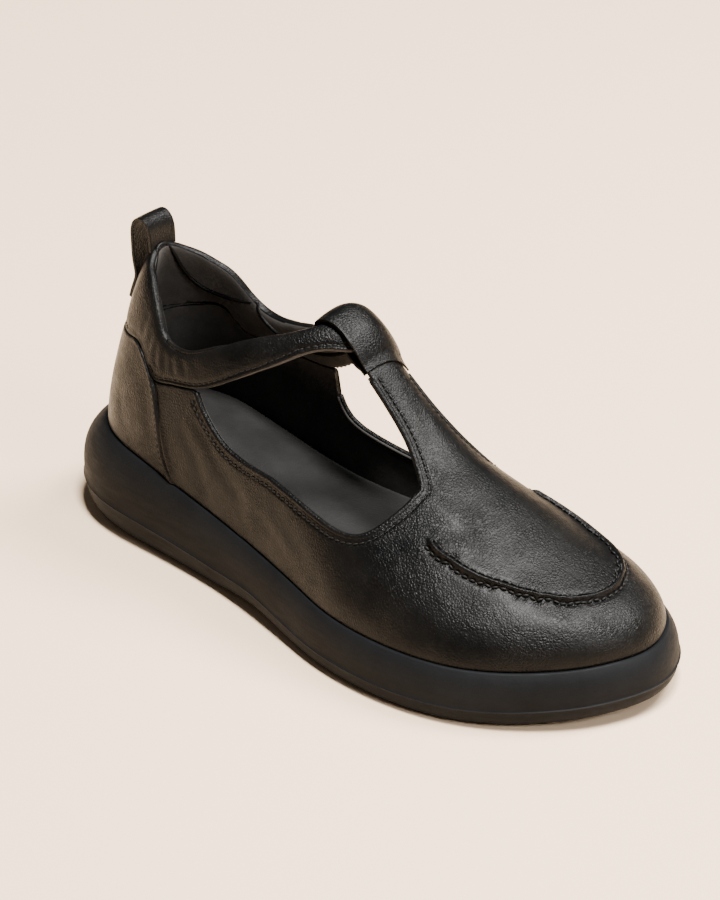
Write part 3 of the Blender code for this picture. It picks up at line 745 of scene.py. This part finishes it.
class Look:
    """A procedural material under construction, on the piece's own coordinates."""

    def __init__(self, name, **constants):
        self.material = bpy.data.materials.new(name)
        self.material.use_nodes = True
        self.nodes = self.material.node_tree.nodes
        self.links = self.material.node_tree.links
        self.shader = self.nodes["Principled BSDF"]
        self.place = self.nodes.new("ShaderNodeTexCoord").outputs["Object"]
        for name, value in constants.items():
            self.shader.inputs[name.replace("_", " ")].default_value = value

    def add(self, kind, **settings):
        """One more node, with its settings."""
        node = self.nodes.new("ShaderNode" + kind)
        for name, value in settings.items():
            setattr(node, name, value)
        return node

    def into(self, node, socket, value):
        """Puts a number or another node's output into a socket."""
        if isinstance(value, bpy.types.NodeSocket):
            self.links.new(value, node.inputs[socket])
        else:
            node.inputs[socket].default_value = value

    def stretched(self, x, y, z, turn):
        """The piece's coordinates scaled and turned, for a pattern drawn out one way."""
        node = self.add("Mapping")
        self.links.new(self.place, node.inputs["Vector"])
        node.inputs["Scale"].default_value = (x, y, z)
        node.inputs["Rotation"].default_value = turn
        return node.outputs["Vector"]

    def noise(self, size, detail=3.0, rough=0.5, bend=0.0, place=None):
        """Cloudy noise whose features are about a size in metres."""
        node = self.add("TexNoise")
        self.links.new(place or self.place, node.inputs["Vector"])
        node.inputs["Scale"].default_value = 1 / size
        node.inputs["Detail"].default_value = detail
        node.inputs["Roughness"].default_value = rough
        node.inputs["Distortion"].default_value = bend
        return node.outputs["Fac"]

    def pebbles(self, size):
        """Cells of about a size in metres, zero along the furrows between them."""
        node = self.add("TexVoronoi", feature="DISTANCE_TO_EDGE")
        self.links.new(self.place, node.inputs["Vector"])
        node.inputs["Scale"].default_value = 1 / size
        return node.outputs["Distance"]

    def ramp(self, value, low, high, out_low=0.0, out_high=1.0):
        """A value whose range from low to high is stretched to another."""
        node = self.add("MapRange")
        self.into(node, "Value", value)
        limits = {"From Min": low, "From Max": high, "To Min": out_low, "To Max": out_high}
        for socket, limit in limits.items():
            node.inputs[socket].default_value = limit
        return node.outputs["Result"]

    def maths(self, operation, a, b):
        """One operation on two values."""
        node = self.add("Math", operation=operation)
        self.into(node, 0, a)
        self.into(node, 1, b)
        return node.outputs[0]

    def mixed(self, share, low, high):
        """A colour between two, by a share."""
        node = self.add("Mix", data_type="RGBA")
        self.into(node, "Factor", share)
        node.inputs["A"].default_value = (*low, 1)
        node.inputs["B"].default_value = (*high, 1)
        return node.outputs["Result"]

    def colour(self, value):
        """Makes a value the base colour."""
        self.links.new(value, self.shader.inputs["Base Color"])

    def roughness(self, value):
        """Makes a value the roughness."""
        self.links.new(value, self.shader.inputs["Roughness"])

    def relief(self, *layers):
        """Bumps laid over each other, each a height, its depth in metres and a strength."""
        before = None
        for height, depth, strength in layers:
            node = self.add("Bump")
            node.inputs["Distance"].default_value = depth
            node.inputs["Strength"].default_value = strength
            self.links.new(height, node.inputs["Height"])
            if before:
                self.links.new(before, node.inputs["Normal"])
            before = node.outputs["Normal"]
        self.links.new(before, self.shader.inputs["Normal"])


def leather_look():
    """Semi-gloss black leather with a crinkled grain and browner, thinner places."""
    wish = bpy.context.scene.shoe_leather
    look = Look("leather", Specular_IOR_Level=0.10, Coat_Weight=0.02, Coat_Roughness=0.2)
    cloud = look.noise(0.038, detail=5, rough=0.55)
    thin = look.ramp(cloud, 0.40, 0.68)
    look.colour(look.mixed(thin, tuple(wish.colour), tuple(wish.warm)))
    warp = look.noise(wish.grain * 2.4, detail=4, rough=0.6, bend=0.8)
    pebble = look.ramp(look.pebbles(wish.grain), 0.0, 0.30)
    patches = look.ramp(look.noise(0.016, detail=2), 0.35, 0.65, 0.35, 1.0)
    crinkle = look.maths("ADD", look.maths("MULTIPLY", pebble, 0.55), warp)
    grain = look.maths("MULTIPLY", crinkle, patches)
    drawn = look.stretched(0.55, 1.0, 0.75, (0.2, 0.4, 0.9))
    streak = look.noise(0.0035, detail=4, rough=0.62, bend=0.5, place=drawn)
    pores = look.noise(wish.grain * 0.35, detail=2)
    low, high = wish.roughness - 0.07, wish.roughness + 0.10
    look.roughness(look.ramp(look.noise(0.006, detail=5, rough=0.65), 0.3, 0.7, low, high))
    look.relief(
        (streak, 0.0009, 0.28),
        (grain, wish.grain_depth, 0.75),
        (pores, wish.grain_depth * 0.25, 0.5),
    )
    return look.material


def rubber_look():
    """Matte moulded rubber with a faint mottle, fine scratches and a ribbed tread."""
    wish = bpy.context.scene.shoe_rubber
    look = Look("rubber", Specular_IOR_Level=0.06)
    dust = look.ramp(look.noise(0.030, detail=6, rough=0.6), 0.35, 0.75)
    pale = tuple(c * 1.7 for c in wish.colour)
    look.colour(look.mixed(dust, tuple(wish.colour), pale))
    drawn = look.stretched(0.10, 0.35, 1.0, (0.0, 0.25, 0.3))
    scratch = look.noise(0.0016, detail=5, rough=0.7, place=drawn)
    look.roughness(look.ramp(scratch, 0.3, 0.7, wish.roughness - 0.08, wish.roughness + 0.10))
    skin = look.noise(0.0009, detail=3, rough=0.6)
    normal = look.add("NewGeometry").outputs["Normal"]
    parts = look.add("SeparateXYZ")
    look.links.new(normal, parts.inputs[0])
    under = look.ramp(parts.outputs["Z"], -0.75, -0.9)
    wave = look.add("TexWave", wave_type="BANDS", bands_direction="DIAGONAL", wave_profile="SIN")
    look.links.new(look.place, wave.inputs["Vector"])
    wave.inputs["Scale"].default_value = TREAD_SCALE
    tread = look.maths("MULTIPLY", look.ramp(wave.outputs["Fac"], 0.35, 0.65), under)
    look.relief((scratch, 0.0004, 0.22), (skin, 0.00015, 0.5), (tread, 0.0012, 0.9))
    return look.material


def nap_look(name, colour, size):
    """A short soft nap, dull, with brushed patches."""
    look = Look(name, Specular_IOR_Level=0.15, Sheen_Weight=0.08, Sheen_Roughness=0.55)
    brushed = look.ramp(look.noise(0.012, detail=5, rough=0.6), 0.35, 0.7)
    look.colour(look.mixed(brushed, tuple(colour), tuple(c * 1.9 for c in colour)))
    look.roughness(look.ramp(brushed, 0.0, 1.0, 0.86, 0.98))
    tufts = look.noise(size * 3, detail=4, rough=0.7)
    hairs = look.noise(size, detail=2)
    look.relief((tufts, 0.0003, 0.5), (hairs, 0.0002, 0.6))
    return look.material


def thread_look(name, colour):
    """Waxed twisted thread."""
    look = Look(name, Specular_IOR_Level=0.20)
    twist = look.noise(0.0004, detail=2, place=look.stretched(1.0, 0.5, 1.0, (0.6, 0.5, 0.7)))
    look.colour(look.mixed(twist, tuple(c * 0.7 for c in colour), tuple(c * 1.6 for c in colour)))
    look.roughness(look.ramp(twist, 0.3, 0.7, 0.42, 0.60))
    look.relief((twist, 0.0001, 0.6))
    return look.material


# The pieces. What one leaves for the next is kept by name.
made = {}


class SHOE_OT_materials(bpy.types.Operator):
    """Makes the leather, rubber, lining and thread materials"""

    bl_idname = "shoe.materials"
    bl_label = "Materials"

    def execute(self, context):
        lining, sewing = context.scene.shoe_lining, context.scene.shoe_sewing
        made["leather"] = leather_look()
        made["rubber"] = rubber_look()
        made["lining"] = nap_look("lining", lining.colour, 0.0005)
        made["insole cover"] = nap_look("insole_cover", lining.insole_colour, 0.0007)
        made["thread"] = thread_look("thread", sewing.colour)
        made["brown thread"] = thread_look("brown_thread", sewing.brown)
        return {"FINISHED"}


class SHOE_OT_sole(bpy.types.Operator):
    """Makes the moulded rubber sole and the insole that lies on it"""

    bl_idname = "shoe.sole"
    bl_label = "Sole and Insole"

    def execute(self, context):
        sole, _ = refined("sole", "rubber_sole", levels=2, crease=0.55)
        dressed(sole, [made["rubber"]], ["sole"])
        insole, _ = refined("insole", "covered_insole", levels=2, crease=0.5)
        dressed(insole, [made["insole cover"]], ["insole"])
        return {"FINISHED"}


class SHOE_OT_collar_band(bpy.types.Operator):
    """Makes the padded collar band with its instep strap, puckered where it turns"""

    bl_idname = "shoe.collar_band"
    bl_label = "Collar Band"

    def execute(self, context):
        band, runs = refined(
            "collar_band", "padded_collar_band", levels=2, crease=0.35, edge=BAND_EDGE,
        )
        tree = tree_of(band)
        lower = max((run for run in runs if run.outside and run.closed), key=Run.length)
        places = list(zip(curve_through(lower.points, 4), curve_through(lower.inwards, 4)))
        places = [(point, way.normalized()) for point, way in places]
        row = beside(places, tree, context.scene.shoe_sewing.flange)
        made["rim"] = over_the_top(lower, tree)
        puckers = photo_lines(tree, BAND_PUCKERS)
        puckers += [(mirrored(line, tree), width, depth) for line, width, depth in puckers]
        finer_along(band, [row], BAND_REACH, 1)
        press(band, puckers + [(row, *BAND_GROOVE)])
        line_inside(band, BAND_INSIDE)
        made["band row"], made["band tree"] = row, tree_of(band)
        dressed(band, [made["leather"], made["lining"]], ["collar_band"])
        return {"FINISHED"}


class SHOE_OT_loops(bpy.types.Operator):
    """Makes the T-bar's loop over the strap and the pull loop at the heel"""

    bl_idname = "shoe.loops"
    bl_label = "Loops"

    def execute(self, context):
        loop, _ = refined("bar_loop", "folded_bar_loop", levels=3, crease=0.55)
        laid_down(loop, tree_of(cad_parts["upper"]))
        made["loop tree"] = tree_of(loop)
        dressed(loop, [made["leather"]], ["bar_loop"])
        pull, _ = refined("pull_loop", "heel_pull_loop", levels=3, crease=0.5)
        let_down(pull)
        dressed(pull, [made["leather"]], ["pull_loop"])
        return {"FINISHED"}


class SHOE_OT_upper(bpy.types.Operator):
    """Makes the quarters, counter, vamp and T-bar with creases and pressed seams"""

    bl_idname = "shoe.upper"
    bl_label = "Upper"

    def execute(self, context):
        sewing = context.scene.shoe_sewing
        upper, runs = refined("upper", "leather_upper", levels=2, crease=0.30)
        tree = tree_of(upper)
        # The four longest lines are the wall's two lower and its two upper edges.
        top = sorted(sorted(runs, key=Run.length)[-4:], key=Run.height)[-2:]
        outer = next(run for run in top if run.outside)
        inner = next(run for run in top if not run.outside)
        ahead = [run for run in runs if min(p.x for p in run.points) > SEAM_BEGINS]
        crest = max(ahead, key=Run.length)

        covers = [made["band tree"], made["loop tree"]]
        made["outer edges"] = open_edges(outer, covers, COVERED)
        made["inner edges"] = open_edges(inner, covers, COVERED)
        edge_rows = [beside(places, tree, sewing.edge) for places in made["outer edges"]]
        moc_rows = both_sides(crest.points, tree, sewing.seam)
        seam = curve_through([from_photo(tree, pixel) for pixel in COUNTER_SEAM])
        seam_rows = [seam, mirrored(seam, tree)]
        lining_seam = curve_through([from_photo(tree, pixel) for pixel in LINING_SEAM])
        finer_along(upper, edge_rows + moc_rows + seam_rows + [lining_seam], UPPER_REACH, 2)
        lines = [(row, *EDGE_GROOVE) for row in edge_rows]
        lines += [(row, *MOC_GROOVE) for row in moc_rows]
        lines += [(row, *COUNTER_GROOVE) for row in seam_rows]
        lines += [(crest.points, *MOC_CREST), (lining_seam, *LINING_GROOVE)]
        rolls = [rearmost(both_sides(row, tree, COUNTER_ROLL_AWAY)) for row in seam_rows]
        lines += [(row, *COUNTER_ROLL) for row in rolls]
        side = photo_lines(tree, SIDE_CREASES)
        for line, width, depth in side:
            lines.append((line, width, depth))
            lines.append((mirrored(line, tree), width, depth * INNER_SIDE_SHARE))
        lines += photo_lines(tree, VAMP_CREASES)
        press(upper, lines)
        line_inside(upper, UPPER_INSIDE)
        made["upper tree"] = tree
        made["edge rows"], made["moc rows"] = edge_rows, moc_rows
        made["inner edge points"] = inner.points
        counter_rows = [rearmost(both_sides(row, tree, sewing.counter)) for row in seam_rows]
        made["counter rows"] = counter_rows
        dressed(upper, [made["leather"], made["lining"]], ["upper"])
        return {"FINISHED"}


class SHOE_OT_trims(bpy.types.Operator):
    """Makes the piping round the rim, and the folded edges and lining at the cut-outs"""

    bl_idname = "shoe.trims"
    bl_label = "Piping and Folded Edges"

    def execute(self, context):
        sewing = context.scene.shoe_sewing
        for i, places in enumerate(made["inner edges"]):
            line = [point for point, _ in places]
            edge = tube(f"lining_edge_{i + 1}", evenly(line, TUBE_STEP), LINING_CORD)
            dressed(edge, [made["lining"]])
        across = tree_of_points(made["inner edge points"])
        for i, places in enumerate(made["outer edges"]):
            line = [point.lerp(across.find(point)[0], FOLD_IN) for point, _ in places]
            fold = tube(f"folded_edge_{i + 1}", evenly(line, TUBE_STEP), sewing.fold)
            dressed(fold, [made["leather"]])
        rim = evened_out(made["rim"], made["band tree"])
        piping = tube("rim_piping", rim, sewing.piping, closed=True)
        dressed(piping, [made["leather"]])
        return {"FINISHED"}


class SHOE_OT_sewing(bpy.types.Operator):
    """Makes every row of stitches"""

    bl_idname = "shoe.sewing"
    bl_label = "Stitches"

    def execute(self, context):
        sewing = context.scene.shoe_sewing
        upper, band, loop = made["upper tree"], made["band tree"], made["loop tree"]
        loop_row = curve_through([from_photo(loop, pixel) for pixel in LOOP_SEAM])
        lining_rows = [beside(places, upper, LINING_ROW) for places in made["inner edges"]]
        # Each mesh of stitches: its rows, the piece under it, its pitch, bulk and thread.
        groups = [
            ("edge_stitches", made["edge rows"], upper, sewing.fine_pitch, 1.0, "thread"),
            ("moc_stitches", made["moc rows"], upper, sewing.bold_pitch, 1.25, "thread"),
            ("counter_stitches", made["counter rows"], upper, sewing.fine_pitch, 1.0, "thread"),
            ("band_stitches", [made["band row"]], band, sewing.fine_pitch, 1.0, "thread"),
            ("lining_stitches", lining_rows, upper, sewing.fine_pitch, 0.9, "brown thread"),
            ("loop_stitches", [loop_row], loop, sewing.fine_pitch, 1.1, "thread"),
        ]
        for name, rows, tree, pitch, bulk, look in groups:
            stitches = sewn(name, rows, tree, pitch, sewing.thread * bulk)
            dressed(stitches, [made[look]])
        return {"FINISHED"}


class SHOE_OT_stage(bpy.types.Operator):
    """Makes the floor, the soft lights and a camera at the photograph's place"""

    bl_idname = "shoe.stage"
    bl_label = "Stage"

    def execute(self, context):
        wish = context.scene.shoe_stage
        bpy.ops.object.select_all(action="DESELECT")
        bpy.ops.mesh.primitive_plane_add(size=FLOOR_SIZE, location=(0, 0, -FLOOR_DROP))
        floor = context.object
        floor.name = "floor"
        look = Look("floor", Roughness=0.9)
        shade = look.ramp(look.noise(0.6, detail=2), 0.3, 0.7)
        look.colour(look.mixed(shade, tuple(c * 0.985 for c in wish.floor), tuple(wish.floor)))
        floor.data.materials.append(look.material)

        world = bpy.data.worlds.new("room")
        world.use_nodes = True
        background = world.node_tree.nodes["Background"]
        background.inputs["Color"].default_value = ROOM_COLOUR
        background.inputs["Strength"].default_value = wish.world
        context.scene.world = world

        # Each light's place, its width and length, its share of the power and its colour.
        lights = [
            ("top_light", (0.33, -0.06, 2.2), (0.40, 0.75), 0.75, (1.0, 0.98, 0.95)),
            ("key_light", (0.5, 0.85, 1.6), (0.8, 0.8), 0.36, (1.0, 0.97, 0.93)),
            ("toe_light", (1.4, -0.1, 1.0), (0.6, 0.6), 0.10, (1.0, 0.98, 0.96)),
        ]
        for name, place, size, share, colour in lights:
            bpy.ops.object.light_add(type="AREA", location=place)
            light = context.object
            light.name = name
            light.data.shape = "ELLIPSE"
            light.data.size, light.data.size_y = size
            light.data.energy = wish.power * share
            light.data.color = colour
            aim = LIT_PLACE - light.location
            light.rotation_euler = aim.to_track_quat("-Z", "Y").to_euler()

        bpy.ops.object.camera_add(location=CAMERA_AT)
        camera = context.object
        camera.name = "photo_camera"
        middle = (Vector(cad_box[0]) + Vector(cad_box[1])) / 2
        camera.rotation_euler = (middle - CAMERA_AT).to_track_quat("-Z", "Y").to_euler()
        camera.data.sensor_width = SENSOR
        camera.data.lens = FOCAL_PIXELS / PHOTO_HIGH * SENSOR * wish.zoom
        camera.data.clip_start = CLIP_START
        context.scene.camera = camera
        return {"FINISHED"}


class SHOE_PT_panel(bpy.types.Panel):
    """Lists the shoe's pieces and their settings"""

    bl_label = "T-bar Shoe"
    bl_idname = "SHOE_PT_panel"
    bl_space_type = "VIEW_3D"
    bl_region_type = "UI"
    bl_category = "Shoe"

    def draw(self, context):
        for operator in STEPS:
            self.layout.operator(operator.bl_idname)
        for name, group in GROUPS:
            box = self.layout.box()
            for field in group.__annotations__:
                box.prop(getattr(context.scene, name), field)


GROUPS = [
    ("shoe_leather", ShoeLeather),
    ("shoe_rubber", ShoeRubber),
    ("shoe_lining", ShoeLining),
    ("shoe_sewing", ShoeSewing),
    ("shoe_stage", ShoeStage),
]
STEPS = [
    SHOE_OT_materials,
    SHOE_OT_sole,
    SHOE_OT_collar_band,
    SHOE_OT_loops,
    SHOE_OT_upper,
    SHOE_OT_trims,
    SHOE_OT_sewing,
    SHOE_OT_stage,
]


def register():
    for name, group in GROUPS:
        bpy.utils.register_class(group)
        setattr(bpy.types.Scene, name, PointerProperty(type=group))
    for operator in STEPS:
        bpy.utils.register_class(operator)
    bpy.utils.register_class(SHOE_PT_panel)


def unregister():
    bpy.utils.unregister_class(SHOE_PT_panel)
    for operator in reversed(STEPS):
        bpy.utils.unregister_class(operator)
    for name, group in reversed(GROUPS):
        delattr(bpy.types.Scene, name)
        bpy.utils.unregister_class(group)


def main():
    register()
    bpy.ops.shoe.materials()
    bpy.ops.shoe.sole()
    bpy.ops.shoe.collar_band()
    bpy.ops.shoe.loops()
    bpy.ops.shoe.upper()
    bpy.ops.shoe.trims()
    bpy.ops.shoe.sewing()
    bpy.ops.shoe.stage()


if __name__ == "__main__":
    main()
